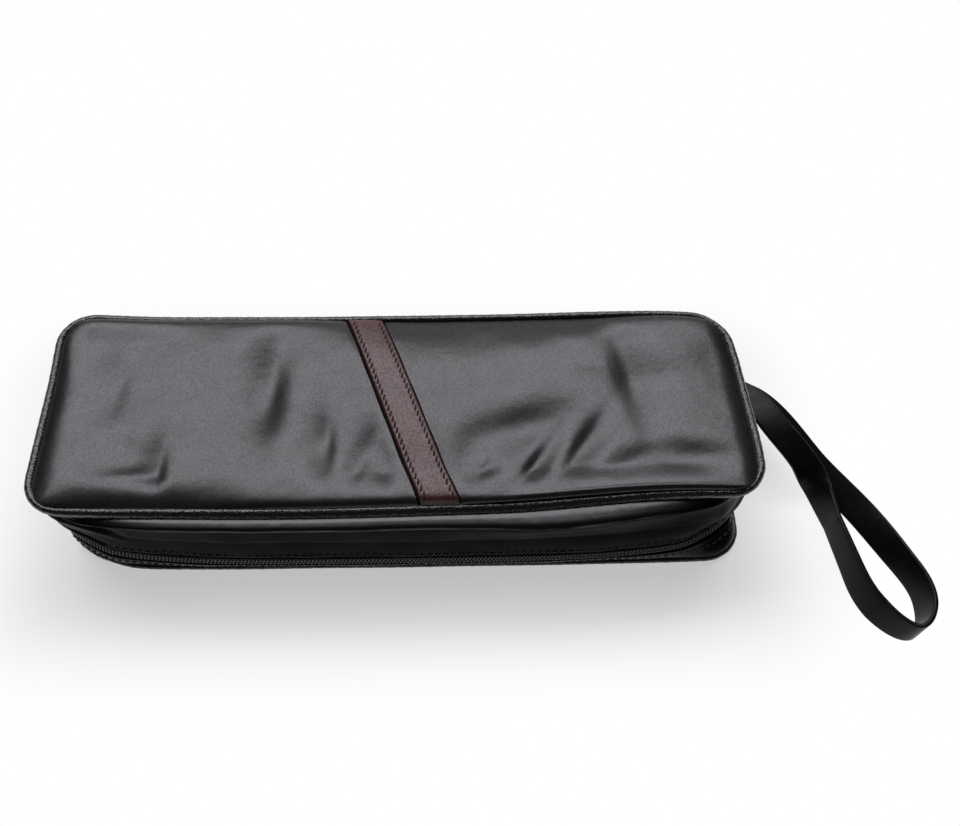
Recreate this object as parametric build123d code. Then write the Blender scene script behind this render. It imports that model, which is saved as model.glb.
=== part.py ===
from build123d import *
import os
from math import cos, radians, sin

os.makedirs("parts", exist_ok=True)

# A soft leather case for two pipes: a shallow base and a deep lid, joined by a leather fold along
# the back and closed by a zip along the front and both ends, with a wrist strap on the right end.
# Millimetres. The origin is the centre of the underside, +X runs along the case to the strap,
# +Y to the folded back wall and +Z up.

# Outside of the case. Each crown step is an inset from the edge and its share of the crown.
case_length = 260.0
case_width = 85.0
corner_radius = 14.0
seam_height = 48.5
crown = 2.6
crown_steps = [(0, 0), (4, 0.5), (11, 0.82), (22, 1)]

# Leather, padding and trim
leather = 1.3
backing = 0.6
top_piping_diameter = 3.0
base_piping_diameter = 2.6
base_piping_centre = 1.5
base_panel_inset = 1.0
board = 1.5
foam = 3.0
lid_foam = 2.0
lining = 0.7
inner_fit = 0.2
body_gap = 0.3

# Zip band, level all round
zip_height = 14.0
zip_opening = 9.0
zip_end_y = 25.0
coil_width = 2.1
coil_slot = 1.0
tape_reach = 10.0
lining_clearance = 0.5

# Leather fold that the lid turns on
hinge_gap = 1.8
fold_radius = 1.3

# Diagonal stripe on the lid
stripe_width = 12.5
stripe_thickness = 0.9
stripe_angle = 18.2
stripe_centre_x = 0.5
stripe_seam_gap = 0.3

# Slider and its pull, parked on the left end
slider_y = 13.0
slider_length = 10.0
slider_width = 8.0
slider_plate = 1.4
slider_post = 0.5
slider_post_length = 2.5
slider_corner = 2.0
bridge_width = 5.6
bridge_ear = 1.0
pin_diameter = 1.2
eye_wall = 1.0
eye_play = 0.3
pull_length = 21.0
pull_width = 4.6
pull_thickness = 1.2
pull_hole = 1.2
pull_corner = 2.1

# Leather patches over the two ends of the zip
patch_thickness = 1.3
patch_low = 3.2
patch_high = 24.0
zip_patch_width = 6.0
strap_patch_width = 15.0
strap_patch_y = 21.0
patch_radius = 1.5

# Inside: a padded divider, a stem loop in each bay and a flat pocket under the lid
divider_length = 222.0
divider_thickness = 6.0
divider_height = 21.0
divider_radius = 2.8
divider_top_radius = 1.4
loop_inside = 16.0
loop_height = 9.0
loop_band = 1.2
loop_width = 12.0
loop_foot = 4.5
loop_x = 62.0
pocket_length = 190.0
pocket_width = 56.0
pocket_thickness = 0.8
pocket_radius = 5.0
pocket_y = -6.0
binding_width = 5.0
binding_thickness = 0.8

# Wrist strap: one flat leather ribbon, folded into a loop
strap_width = 11.4
strap_thickness = 1.8
strap_root_y = 25.0
strap_root_z = 19.0
strap_root_length = 6.0
strap_ply_gap = 0.4
strap_root_lean = 86
strap_steps = 4
# Middle line from the root out along the near ply, round the end and back along the far ply.
# Each point is its distance from the end wall, y, z and the ribbon's lean from standing on its
# edge, in degrees.
strap_route = [
    (15.9, 20.4, 20.2, 88),
    (22.4, 9.0, 19.6, 87),
    (33.1, -4.6, 13.6, 76),
    (39.1, -13.0, 7.0, 34),
    (41.8, -28.9, 6.0, 9),
    (44.1, -47.0, 5.9, 16),
    (48.9, -64.3, 5.9, 27),
    (61.2, -73.4, 6.1, 5),
    (67.5, -63.1, 6.6, -16),
    (64.2, -46.0, 6.0, -28),
    (54.9, -24.9, 5.0, -57),
    (39.3, -3.1, 8.6, -78),
    (23.8, 17.6, 15.6, -82),
    (14.6, 24.0, 17.6, -86),
]

# Sizes that follow. The zip's tape lies in the thickness of the walls' backing.
wall = leather + backing
wall_length = case_length - top_piping_diameter
wall_width = case_width - top_piping_diameter
wall_corner = corner_radius - top_piping_diameter / 2
least_corner = 1.5
end_x = wall_length / 2
hinge_y = wall_width / 2 - wall / 2
inside = wall + inner_fit
lower_edge = zip_height - zip_opening / 2
upper_edge = zip_height + zip_opening / 2
fold_low = zip_height - hinge_gap
fold_high = zip_height + hinge_gap
floor_height = leather + board + foam + lining
ceiling_height = seam_height - lid_foam - board - lining
wide = 2 * case_length


def outline(inset):
    radius = max(wall_corner - inset, least_corner)
    return RectangleRounded(wall_length - 2 * inset, wall_width - 2 * inset, radius)


def block(inset, low, high):
    """The case's plan, drawn in by inset, between two heights."""
    return Pos(0, 0, low) * extrude(outline(inset), high - low)


def ring(outer, inner, low, high):
    """A band that runs right round, between two insets and two heights."""
    return Pos(0, 0, low) * extrude(outline(outer) - outline(inner), high - low)


def span(x0, x1, y0, y1, z0, z1):
    """A box between two corners."""
    box = Box(x1 - x0, y1 - y0, z1 - z0, align=(Align.MIN, Align.MIN, Align.MIN))
    return Pos(x0, y0, z0) * box


def front_of_zip_end(low, high):
    """The space that the zip band takes: the front and both ends, up to where the zip ends."""
    return span(-wide, wide, -wide, zip_end_y, low, high)


def piping(diameter, height):
    path = (Pos(0, 0, height) * outline(0)).wire()
    return sweep(Plane(origin=path @ 0, z_dir=path % 0) * Circle(diameter / 2), path=path)


def pillow(lift):
    """The crowned space under the lid's skin, its top raised by lift."""
    sections = [Pos(0, 0, seam_height) * outline(0)] if lift else []
    for inset, share in crown_steps:
        sections.append(Pos(0, 0, seam_height + lift + share * crown) * outline(inset))
    return loft([s.face() for s in sections], ruled=True)


def flat_rounded(length, width, thickness, radius):
    return extrude(RectangleRounded(length, width, radius), thickness)


top_piping = piping(top_piping_diameter, seam_height)
base_piping = piping(base_piping_diameter, base_piping_centre)


# Zip

def tape(low, high):
    return ring(leather, wall, low, high) & front_of_zip_end(low, high)


def coil(low, high):
    return ring(0, leather, low, high) & front_of_zip_end(low, high)


upper_tape = tape(zip_height + coil_slot / 2, zip_height + tape_reach)
lower_tape = tape(zip_height - tape_reach, zip_height - coil_slot / 2)
upper_coil = coil(zip_height + coil_slot / 2, zip_height + coil_slot / 2 + coil_width)
lower_coil = coil(zip_height - coil_slot / 2 - coil_width, zip_height - coil_slot / 2)


# Base

def base_panel():
    return block(base_panel_inset, 0, leather) - base_piping


def lower_gusset():
    sides = ring(0, wall, leather, fold_low)
    return sides - front_of_zip_end(lower_edge, wide) - lower_tape - base_piping


def base_board():
    return block(inside, leather, leather + board)


def base_padding():
    return block(inside, leather + board, leather + board + foam)


def base_lining():
    top = lower_edge - lining_clearance
    tray = block(inside, floor_height - lining, top)
    return tray - block(inside + lining, floor_height, top)


def hinge_fold():
    """The rolled leather of the fold, with the web that joins it to the base's back wall."""
    length = wall_length - 2 * wall_corner
    roll = Pos(0, hinge_y, zip_height) * Rot(0, 90, 0) * Cylinder(fold_radius, length)
    half = length / 2
    web = span(-half, half, hinge_y - wall / 2, hinge_y + wall / 2, fold_low, zip_height)
    return roll + web


def zip_patch(width, centre_y, side):
    """A leather patch over the zip's end, sewn to the base and clear of the lid."""
    face = flat_rounded(patch_high - patch_low, width, patch_thickness, patch_radius)
    upright = Pos(end_x + body_gap, centre_y, (patch_high + patch_low) / 2) * Rot(0, 90, 0) * face
    low, high = patch_low + patch_radius, lower_edge
    y0, y1 = centre_y - width / 2, centre_y + width / 2
    patch = upright + span(end_x, end_x + body_gap, y0, y1, low, high)
    return patch if side > 0 else mirror(patch, about=Plane.YZ)


def pipe_divider():
    """The padded wall between the two bays, rounded along its top and its ends."""
    body = Pos(0, 0, floor_height) * extrude(
        RectangleRounded(divider_length, divider_thickness, divider_radius), divider_height
    )
    return fillet(body.faces().sort_by(Axis.Z)[-1].edges(), divider_top_radius)


def stem_loop(x, y):
    """An elastic arch across a bay, with a sewn foot each side."""
    radius = loop_inside / 2
    straight = loop_height - radius
    arch = Pos(0, straight) * Circle(radius + loop_band)
    arch += Pos(0, straight / 2) * Rectangle(loop_inside + 2 * loop_band, straight)
    arch &= Pos(0, wide / 2) * Rectangle(wide, wide)
    arch += Pos(0, loop_band / 2) * Rectangle(loop_inside + 2 * (loop_band + loop_foot), loop_band)
    hole = Pos(0, straight) * Circle(radius)
    hole += Pos(0, 0) * Rectangle(loop_inside, 2 * straight)
    band = extrude((Plane.YZ * (arch - hole)), loop_width / 2, both=True)
    return Pos(x, y, floor_height) * band


bay_middle = (divider_thickness / 2 + wall_width / 2 - inside - lining) / 2


# Lid

def top_panel():
    return pillow(leather) - pillow(0) - top_piping


def accent_stripe():
    slab = Pos(stripe_centre_x, 0, seam_height) * Rot(0, 0, stripe_angle)
    slab = slab * Box(stripe_width, wide, 6 * crown)
    inner = block(top_piping_diameter / 2 + stripe_seam_gap, seam_height, 2 * seam_height)
    return (pillow(leather + stripe_thickness) - pillow(leather)) & slab & inner


def top_padding():
    bulge = pillow(0) & block(inside, seam_height, 2 * seam_height)
    return bulge + block(inside, seam_height - lid_foam, seam_height)


def top_board():
    return block(inside, seam_height - lid_foam - board, seam_height - lid_foam)


def upper_gusset():
    sides = ring(0, wall, fold_high, seam_height)
    return sides - front_of_zip_end(0, upper_edge) - upper_tape - top_piping


def lid_lining():
    low = upper_edge + lining_clearance
    tray = block(inside, low, ceiling_height + lining)
    return tray - block(inside + lining, low, ceiling_height)


def lid_pocket():
    sheet = flat_rounded(pocket_length, pocket_width, pocket_thickness, pocket_radius)
    return Pos(0, pocket_y, ceiling_height - pocket_thickness) * sheet


def pocket_binding():
    edge = pocket_y + pocket_width / 2
    top = ceiling_height - pocket_thickness
    half = pocket_length / 2 - pocket_radius
    return span(-half, half, edge - binding_width, edge, top - binding_thickness, top)


# Slider and pull

plate_outer_face = end_x + body_gap + slider_plate
pin_x = plate_outer_face + eye_play + eye_wall + eye_play + pin_diameter / 2


def zip_slider():
    """Two plates joined by a thin post between the coils, and a bridge that carries the pull."""
    low, high = zip_height - slider_width / 2, zip_height + slider_width / 2
    y0, y1 = slider_y - slider_length / 2, slider_y + slider_length / 2
    outer = span(-plate_outer_face, -end_x - body_gap, y0, y1, low, high)
    inner_face = -end_x + wall + body_gap
    inner = span(inner_face, inner_face + slider_plate, y0, y1, low, high)
    outer = fillet(outer.edges().filter_by(Axis.X), slider_corner)
    inner = fillet(inner.edges().filter_by(Axis.X), slider_corner)
    p0, p1 = slider_y - slider_post_length / 2, slider_y + slider_post_length / 2
    half = slider_post / 2
    post = span(-end_x - body_gap, inner_face, p0, p1, zip_height - half, zip_height + half)
    body = outer + inner + post
    for side in (-1, 1):
        ear_z = zip_height + side * (bridge_width - bridge_ear) / 2
        reach = pin_x + pin_diameter
        y0, y1 = slider_y - pin_diameter, slider_y + pin_diameter
        body += span(-reach, -plate_outer_face, y0, y1, ear_z - bridge_ear / 2, ear_z + bridge_ear / 2)
    return body + Pos(-pin_x, slider_y, zip_height) * Cylinder(pin_diameter / 2, bridge_width)


def zip_pull():
    """A flat metal pull with an eye round the bridge's pin."""
    inner = pin_diameter / 2 + eye_play
    height = bridge_width - 2 * bridge_ear - 2 * eye_play
    eye = Pos(-pin_x, slider_y, zip_height) * Cylinder(inner + eye_wall, height)
    blade = extrude(
        Pos(-pull_length / 2 - inner, 0) * RectangleRounded(pull_length, pull_width, pull_corner)
        - Pos(-pull_length, 0) * Circle(pull_hole),
        pull_thickness / 2, both=True,
    )
    blade = Pos(-pin_x, slider_y, zip_height) * Rot(0, 0, 90) * Rot(90, 0, 0) * blade
    bore = Pos(-pin_x, slider_y, zip_height) * Cylinder(inner, slider_width)
    return eye + blade - bore


# Wrist strap

strap_pivot_x = end_x + body_gap + patch_thickness + body_gap + strap_thickness + strap_ply_gap / 2


def strap_line():
    """Middle line and lean of the ribbon as one smooth curve through the route's points."""
    ply = (strap_thickness + strap_ply_gap) / 2
    root_x = strap_pivot_x + strap_root_length / 2
    points = [(root_x, strap_root_y, strap_root_z + ply, strap_root_lean)]
    points += [(end_x + out, y, z, lean) for out, y, z, lean in strap_route]
    points += [(root_x, strap_root_y, strap_root_z - ply, -strap_root_lean)]
    middle = Spline(*[p[:3] for p in points])
    return points, middle


def strap_section(place, along, lean):
    """A slice of the ribbon, square to its middle line."""
    level = Vector(-along.Y, along.X, 0).normalized()
    across = level * sin(radians(lean)) + Vector(0, 0, 1) * cos(radians(lean))
    across = (across - along * across.dot(along)).normalized()
    return (Plane(origin=place, x_dir=across, z_dir=along) * Rectangle(strap_width, strap_thickness)).face()


def wrist_strap():
    points, middle = strap_line()
    stops = [middle.param_at_point(Vector(*p[:3])) for p in points]
    sections = []
    for k in range(len(points) - 1):
        for step in range(strap_steps):
            part = step / strap_steps
            where = stops[k] + (stops[k + 1] - stops[k]) * part
            lean = points[k][3] + (points[k + 1][3] - points[k][3]) * part
            sections.append(strap_section(middle @ where, middle % where, lean))
    sections.append(strap_section(middle @ 1, middle % 1, points[-1][3]))
    ribbon = loft(sections, ruled=True)
    print("strap middle line %.1f mm" % middle.length)
    low = ribbon.bounding_box().min.Z
    print("strap lowest point %.2f mm" % low)
    ends = strap_thickness * 2 + strap_ply_gap
    root = Pos(strap_pivot_x, strap_root_y, strap_root_z) * Rot(90, 0, 0) * Cylinder(ends / 2, strap_width)
    tab = span(
        strap_pivot_x, strap_pivot_x + strap_root_length,
        strap_root_y - strap_width / 2, strap_root_y + strap_width / 2,
        strap_root_z - ends / 2, strap_root_z + ends / 2,
    )
    return ribbon + root + tab


sub_parts = {
    "base_panel": base_panel(),
    "base_piping": base_piping,
    "lower_gusset": lower_gusset(),
    "base_board": base_board(),
    "base_padding": base_padding(),
    "base_lining": base_lining(),
    "lower_zip_tape": lower_tape,
    "lower_zip_coil": lower_coil,
    "hinge_fold": hinge_fold(),
    "zip_end_patch": zip_patch(zip_patch_width, zip_end_y, -1),
    "strap_patch": zip_patch(strap_patch_width, strap_patch_y, 1),
    "pipe_divider": pipe_divider(),
    "front_stem_loop": stem_loop(loop_x, -bay_middle),
    "rear_stem_loop": stem_loop(-loop_x, bay_middle),
    "top_panel": top_panel(),
    "accent_stripe": accent_stripe(),
    "top_piping": top_piping,
    "top_padding": top_padding(),
    "top_board": top_board(),
    "upper_gusset": upper_gusset(),
    "lid_lining": lid_lining(),
    "upper_zip_tape": upper_tape,
    "upper_zip_coil": upper_coil,
    "lid_pocket": lid_pocket(),
    "pocket_binding": pocket_binding(),
    "zip_slider": zip_slider(),
    "zip_pull": zip_pull(),
    "wrist_strap": wrist_strap(),
}

for name, shape in sub_parts.items():
    export_step(shape, "parts/%s.step" % name)
print("hinge axis y %.2f z %.2f" % (hinge_y, zip_height))
print("slider pin x %.2f y %.2f" % (-pin_x, slider_y))
print("strap pivot x %.2f" % strap_pivot_x)
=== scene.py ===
from math import cos, pi, radians, sin, tan

import bmesh
import bpy
import numpy as np
from mathutils import Matrix, Vector

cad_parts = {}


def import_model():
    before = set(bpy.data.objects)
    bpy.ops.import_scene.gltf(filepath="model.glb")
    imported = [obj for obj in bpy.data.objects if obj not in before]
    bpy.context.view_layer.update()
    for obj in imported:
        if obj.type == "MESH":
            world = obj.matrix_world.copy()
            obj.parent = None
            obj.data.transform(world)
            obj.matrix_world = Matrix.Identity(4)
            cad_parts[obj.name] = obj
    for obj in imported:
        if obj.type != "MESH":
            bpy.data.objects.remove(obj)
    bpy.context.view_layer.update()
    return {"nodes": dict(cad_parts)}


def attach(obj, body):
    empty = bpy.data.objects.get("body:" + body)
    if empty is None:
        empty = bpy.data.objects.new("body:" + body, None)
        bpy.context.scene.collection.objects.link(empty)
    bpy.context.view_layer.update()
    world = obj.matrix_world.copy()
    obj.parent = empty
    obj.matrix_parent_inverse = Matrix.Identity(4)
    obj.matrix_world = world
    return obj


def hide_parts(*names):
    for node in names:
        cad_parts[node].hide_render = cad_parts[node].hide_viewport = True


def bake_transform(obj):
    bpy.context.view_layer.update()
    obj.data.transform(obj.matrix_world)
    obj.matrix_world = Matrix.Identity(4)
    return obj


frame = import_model()

# A soft leather case for two pipes. Lengths are millimetres until a mesh is made. x runs along the
# case to the right, y to the back and z up. The walls are drawn in wall space: t runs round the case
# from the middle of the back wall by the left end, inset is the depth in from the wall's outer face,
# and z is the height.

half_x, half_y = 128.5, 41.0
corner = 12.5
seam_z = 48.5
zip_z = 14.0
lower_edge, upper_edge = 9.5, 18.5
fold_low, fold_high = 12.2, 15.8
zip_end_y = 25.0
leather = 1.3
wall_depth = 1.9
wall_pitch = 2.9
uv_span = 1000.0


# Curves and weights

def smooth(start, end, value):
    """Rises smoothly from 0 at start to 1 at end."""
    share = np.clip((value - start) / (end - start), 0, 1)
    return share * share * (3 - 2 * share)


def bell(value, centre, width):
    return np.exp(-(((value - centre) / width) ** 2))


def unit(vectors):
    return vectors / np.linalg.norm(vectors, axis=1)[:, None]


def chords(points):
    """Length along a line of points, from 0."""
    steps = np.linalg.norm(np.diff(points, axis=0), axis=1)
    return np.concatenate([[0], np.cumsum(steps)])


def xyz(x, y, z):
    """Points from their three measures, of which any may be one number for all the points."""
    return np.stack(np.broadcast_arrays(x, y, z), -1)


def measures(points):
    return np.moveaxis(points, -1, 0)


def turns(count):
    """The angles of count points round a circle."""
    return np.linspace(0, 2 * pi, count, endpoint=False)


def spline(knots, values):
    """A natural cubic spline through the values, as a function of the knots' measure."""
    knots = np.asarray(knots, float)
    values = np.asarray(values, float)
    single = values.ndim == 1
    if single:
        values = values[:, None]
    count = len(knots)
    gap = np.diff(knots)
    system = np.eye(count)
    bends = np.zeros_like(values)
    for i in range(1, count - 1):
        system[i, i - 1:i + 2] = gap[i - 1], 2 * (gap[i - 1] + gap[i]), gap[i]
        rise = (values[i + 1] - values[i]) / gap[i]
        bends[i] = 6 * (rise - (values[i] - values[i - 1]) / gap[i - 1])
    bends = np.linalg.solve(system, bends)

    def value(at):
        at = np.clip(np.asarray(at, float), knots[0], knots[-1])
        i = np.clip(np.searchsorted(knots, at) - 1, 0, count - 2)
        h = gap[i][..., None]
        a = (knots[i + 1] - at)[..., None] / h
        b = 1 - a
        bend = ((a ** 3 - a) * bends[i] + (b ** 3 - b) * bends[i + 1]) * h * h / 6
        result = a * values[i] + b * values[i + 1] + bend
        return result[..., 0] if single else result

    return value


# The slump of the soft case

front_swell = spline(
    [0, 3, 8, 13, 18, 30, 36, 40, 42.5, 44.2, 45.6, 46.8, 47.8, 60],
    [0.9, 1.4, 3.9, 5.2, 5.3, 5.25, 5.1, 4.85, 4.3, 3.3, 1.95, 0.7, 0, 0],
)


def hang(x, y):
    """How far the rim hangs forward over the front wall."""
    most = (1.2 + 1.0 * bell(x, -35, 42)) * smooth(95, 35, x) * np.clip(1 - (x / 119) ** 6, 0, 1)
    return most * smooth(-28, -40, y)


def back_rise(x, y):
    """How far the rim stands up at the back."""
    return smooth(8, 38, y) * (2.2 * bell(x, -122, 26) + 0.7 * bell(x, -85, 30) + 1.3 * bell(x, 92, 34) + 0.5)


def near_corner(x, y, corner_x, corner_y, width):
    """1 at a corner of the plan, less round it."""
    return np.exp(-((x - corner_x) ** 2 + (y - corner_y) ** 2) / width ** 2)


def slump(points):
    """Moves points of the straight case to where the soft case has them."""
    x, y, z = measures(points)
    dx, dz = np.zeros_like(x), np.zeros_like(x)

    # The front wall swells out, and the rim hangs over it
    along = np.clip(1 - (x / 111) ** 4, -0.25, 1)
    dy = -smooth(-24, -39, y) * along * front_swell(z) - hang(x, y) * smooth(44.5, 47.0, z)

    # The two front corners sink in
    low = 1 - smooth(0, 9, z)
    sink = (3.1 + 2.2 * low) * (1 - smooth(14, 44, z))
    sink = sink * near_corner(x, y, -122, -38, 9 + 4 * low) * smooth(-23, -33, y)
    dx += 0.5 * sink
    dy += 0.86 * sink
    sink = 4.6 * smooth(3, 10, z) * (1 - 0.35 * smooth(15, 34, z)) * (1 - smooth(40, 47.6, z))
    sink = sink * near_corner(x, y, 122.5, -36.5, 11)
    dx -= 0.55 * sink
    dy += 0.8 * sink

    # The right end's foot flares out
    flare = (1 - smooth(1, 19, z)) * smooth(70, 126, x) * bell(y, -21, 27)
    dx += 4.4 * flare
    dy -= 0.9 * flare * smooth(-24, -39, y)

    # The rim bows in and up at its right front, draws in at its right corners, and stands up at the
    # back and at the left end
    rim = smooth(25, 46, z)
    bow = smooth(22, 118, x) * smooth(12, -40, y) * rim
    back_right = near_corner(x, y, 127, 40, 15) * rim
    left = smooth(-96, -126, x) * rim
    dx += 0.6 * smooth(100, 126, x) * rim - 1.3 * near_corner(x, y, 128.5, -40, 15) * rim
    dx -= 1.9 * back_right + 1.1 * left
    dy += 3.2 * bow - 1.3 * back_right
    dz += 1.5 * bow + back_rise(x, y) * rim + 1.3 * left * (1 - 0.5 * smooth(8, 38, y))
    return xyz(x + dx, y + dy, z + dz)


# The case's plan

def plan_line():
    """Points and outward directions round the plan, from the middle of the back wall."""
    rows = [[0, half_y, 0, 1]]
    for k, (side_x, side_y) in enumerate([(-1, 1), (-1, -1), (1, -1), (1, 1)]):
        for step in range(91):
            angle = radians(90 * (k + 1) + step)
            c, s = cos(angle), sin(angle)
            x = side_x * (half_x - corner) + corner * c
            y = side_y * (half_y - corner) + corner * s
            rows.append([x, y, c, s])
    rows.append([0, half_y, 0, 1])
    return np.array(rows)


plan = plan_line()
way = chords(plan[:, :2])
around = way[-1]
zip_start = half_x - corner + corner * pi / 2 + (half_y - corner - zip_end_y)
zip_stop = around - zip_start


def on_wall(t, inset, z):
    """Wall space to points in the case's own space, with its slump."""
    t = np.mod(t, around)
    x, y, out_x, out_y = [np.interp(t, way, plan[:, k]) for k in range(4)]
    return slump(xyz(x - inset * out_x, y - inset * out_y, z))


def wall_place(points):
    return on_wall(*measures(points))


def edge_distance(x, y, inset=0.0):
    """How far a point of the plan is in from the outline drawn in by inset."""
    radius = max(corner - inset, 1.5)
    qx = np.abs(x) - (half_x - inset - radius)
    qy = np.abs(y) - (half_y - inset - radius)
    outside = np.hypot(np.maximum(qx, 0), np.maximum(qy, 0))
    return radius - outside - np.minimum(np.maximum(qx, qy), 0)


def plan_grid(u, v, inset):
    """x and y of a grid over the plan drawn in by inset. u and v run from -1 to 1."""
    radius = max(corner - inset, 1.5)
    length, width = half_x - inset, half_y - inset
    y = np.repeat((v * width)[:, None], len(u), 1)
    beyond = np.clip(np.abs(y) - (width - radius), 0, radius)
    return u[None, :] * (length - radius + np.sqrt(radius ** 2 - beyond ** 2)), y


# Mesh helpers

def placed(name, data):
    """A new object with this data, in the scene."""
    obj = bpy.data.objects.new(name, data)
    bpy.context.scene.collection.objects.link(obj)
    return obj


def make(name, points, faces, uvs=None):
    """A smooth-shaded object from points and UVs in millimetres."""
    mesh = bpy.data.meshes.new(name)
    mesh.from_pydata((np.asarray(points).reshape(-1, 3) / 1000).tolist(), [], faces)
    if uvs is not None:
        layer = mesh.uv_layers.new(name="UVMap")
        layer.data.foreach_set("uv", (np.asarray(uvs, np.float32) / uv_span).ravel())
    shape = bmesh.new()
    shape.from_mesh(mesh)
    bmesh.ops.recalc_face_normals(shape, faces=shape.faces)
    shape.to_mesh(mesh)
    shape.free()
    mesh.polygons.foreach_set("use_smooth", [True] * len(mesh.polygons))
    return placed(name, mesh)


def finish_piece(obj, body, material, node=None):
    """Gives a piece its material and slot, the CAD node it replaces, and the body it rides on."""
    obj.data.materials.append(material)
    if node:
        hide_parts(node)
    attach(obj, body)


def grid_faces(rows, columns, close_rows, close_columns, first=0):
    """Quads of a grid of points, and the row and column of each quad's corners for its UVs."""
    i = np.arange(rows if close_rows else rows - 1)
    j = np.arange(columns if close_columns else columns - 1)
    i, j = [a.ravel() for a in np.meshgrid(i, j, indexing="ij")]
    corners = [(i, j), (i + 1, j), (i + 1, j + 1), (i, j + 1)]
    faces = np.stack([first + (a % rows) * columns + b % columns for a, b in corners], 1)
    return faces.tolist(), np.stack([np.stack(c, 1) for c in corners], 1)


def two_sheets(rows, columns):
    """Faces of two grids, one above the other and joined round their rim, and the row and column of
    the corners of one grid's quads."""
    far = rows * columns
    faces, where = grid_faces(rows, columns, False, False)
    below, _ = grid_faces(rows, columns, False, False, far)
    rim = [(0, k) for k in range(columns)] + [(k, columns - 1) for k in range(1, rows)]
    rim += [(rows - 1, k) for k in range(columns - 2, -1, -1)] + [(k, 0) for k in range(rows - 2, 0, -1)]
    ring = [r * columns + c for r, c in rim]
    sides = [[ring[k - 1], ring[k], ring[k] + far, ring[k - 1] + far] for k in range(len(ring))]
    return faces + below + sides, where


def swept(name, points, along, closed):
    """A mesh through outlines of points (rows, columns, 3). Where it is closed, its last outline
    meets its first. Otherwise both ends are flat."""
    rows, columns = points.shape[:2]
    faces, where = grid_faces(rows, columns, closed, True)
    across = chords(np.concatenate([points[0], points[0][:1]]))
    if closed:
        along = np.append(along, along[-1] + np.linalg.norm(points[-1] - points[0], axis=1).mean())
    uvs = np.stack([along[where[..., 0]], across[where[..., 1]]], -1).reshape(-1, 2)
    if not closed:
        for row in (0, rows - 1):
            faces.append([row * columns + k for k in range(columns)])
            uvs = np.concatenate([uvs, np.stack([np.full(columns, along[row]), across[:-1]], 1)])
    return make(name, points, faces, uvs)


def slab(name, inset, bottom, top, rounding, columns=80, rows=40, shape=None):
    """A closed slab with the case's plan drawn in by inset, rounded round its edge.
    shape changes the points of each face before the slump."""
    u, v = [np.sin(np.linspace(-pi / 2, pi / 2, count)) for count in (columns, rows)]
    x, y = plan_grid(u, v, inset)
    depth = np.clip(edge_distance(x, y, inset), 0, rounding)
    fall = rounding - np.sqrt(np.maximum(rounding ** 2 - (rounding - depth) ** 2, 0))
    fall[[0, -1]] = fall[:, [0, -1]] = rounding
    sheets = [xyz(x, y, height - side * fall) for height, side in ((top, 1), (bottom, -1))]
    if shape:
        sheets = [shape(sheet) for sheet in sheets]
    faces, _ = two_sheets(rows, columns)
    return make(name, slump(np.stack(sheets)), faces)


def ribbon(name, path, across, width, thickness, closed, rounding, puff, side_points=5):
    """A flat band along a path, its faces raised by puff in the middle. across is the band's width
    direction at each point."""
    ahead = unit(np.roll(path, -1, 0) - np.roll(path, 1, 0) if closed else np.gradient(path, axis=0))
    across = unit(across - ahead * np.sum(across * ahead, 1)[:, None])
    up = np.cross(ahead, across)
    flat, half = width / 2 - rounding, thickness / 2
    outline = []
    for quarter, (side, face) in enumerate([(1, 1), (-1, 1), (-1, -1), (1, -1)]):
        for angle in np.radians(90 * quarter + np.linspace(0, 90, side_points)):
            out, rise = rounding * cos(angle), rounding * sin(angle)
            outline.append([side * flat + out, face * (half - rounding) + rise])
        if quarter in (0, 2):
            for share in (0.6, 0.2, -0.2, -0.6):
                outline.append([face * share * flat, face * (half + puff * (1 - share * share))])
    outline = np.array(outline)
    points = path[:, None] + outline[None, :, :1] * across[:, None] + outline[None, :, 1:] * up[:, None]
    return swept(name, points, chords(path), closed)


def sew(name, centres, ahead, outward, length, radius, body, thread=None, slant=0.0, place=None):
    """A thread stitch at each centre, its ends going down into the leather. The thread is black
    where none is given, and place puts the stitches where they belong."""
    ahead = np.broadcast_to(ahead, centres.shape)
    outward = np.broadcast_to(outward, centres.shape)
    run = ahead * cos(slant) + np.cross(outward, ahead) * sin(slant)
    side = np.cross(outward, run)
    sides, steps = 7, 9
    share = np.linspace(-1, 1, steps)[:, None]
    taper = np.sqrt(1 - share ** 2)
    angle = turns(sides)
    girth = radius * (0.55 + 0.45 * taper)
    middle = centres[:, None] + share * run[:, None] * length / 2
    middle = middle + radius * (1.15 * taper - 0.75) * outward[:, None]
    ring = (girth * np.cos(angle))[..., None] * side[:, None, None]
    ring = ring + (girth * np.sin(angle))[..., None] * outward[:, None, None]
    points = middle[:, :, None] + ring
    if place:
        points = place(points)
    one, where = grid_faces(steps, sides, False, True)
    one_uv = np.stack([where[..., 0] * length / steps, where[..., 1] * radius], -1).reshape(-1, 2)
    faces, uvs = [], []
    for k in range(len(centres)):
        first = k * steps * sides
        faces += [[first + c for c in face] for face in one]
        uvs.append(one_uv + [k * length, 0])
        for row in (0, steps - 1):
            faces.append([first + row * sides + c for c in range(sides)])
            uvs.append(np.zeros((sides, 2)))
    obj = make(name, points, faces, np.concatenate(uvs))
    finish_piece(obj, body, thread or black_thread)
    return obj


# Materials

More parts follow.
